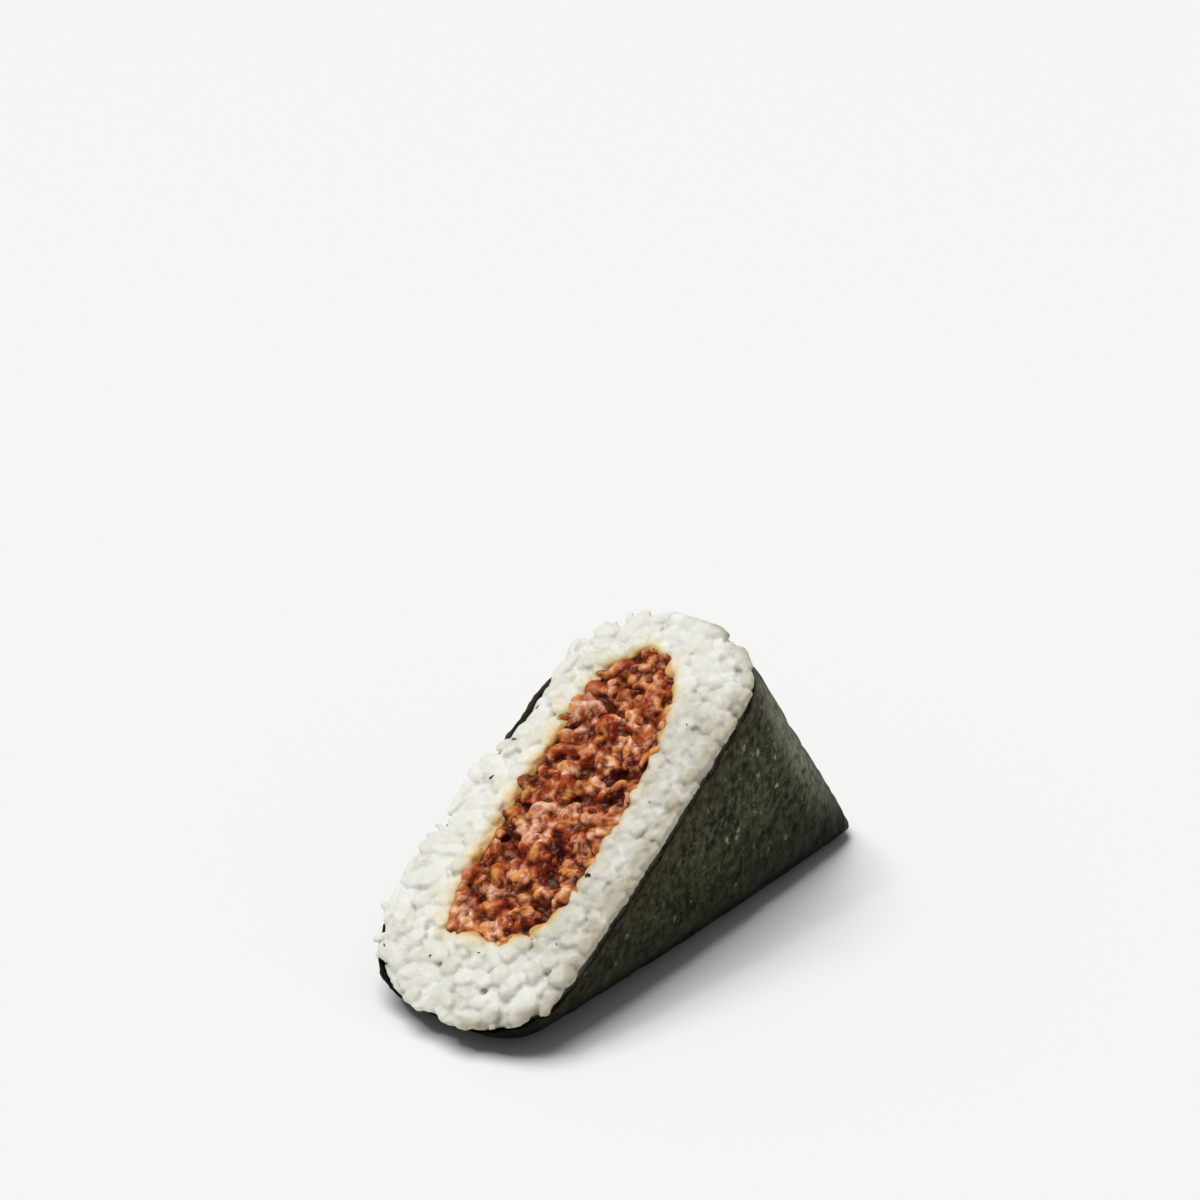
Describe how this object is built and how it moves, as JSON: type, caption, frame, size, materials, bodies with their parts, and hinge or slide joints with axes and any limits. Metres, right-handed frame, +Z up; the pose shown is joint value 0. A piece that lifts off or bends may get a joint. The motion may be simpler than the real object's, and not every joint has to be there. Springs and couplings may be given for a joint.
{
  "type": "spicy tuna triangle gimbap half",
  "caption": "Cut half of a triangle gimbap lying on its slanted side: rice round a crumbly spicy tuna filling, wrapped in a dark seaweed sheet.",
  "frame": {"origin": "middle of the bounding box's base, on the surface the half lies on", "axes": "+X along the resting side from the apex end to the pointed tip, +Y across the thickness, +Z up; the cut face looks towards -X and +Z"},
  "size_m": [0.0764, 0.032, 0.038],
  "materials": {
    "seaweed": "dried seaweed, dark green to black, satin",
    "rice": "cooked white rice, moist and slightly translucent",
    "tuna": "flaked tuna in chilli sauce, red-brown and oily"
  },
  "bodies": {
    "root": {"seaweed_sheet": "seaweed", "rice": "rice", "tuna_filling": "tuna"}
  },
  "joints": []
}
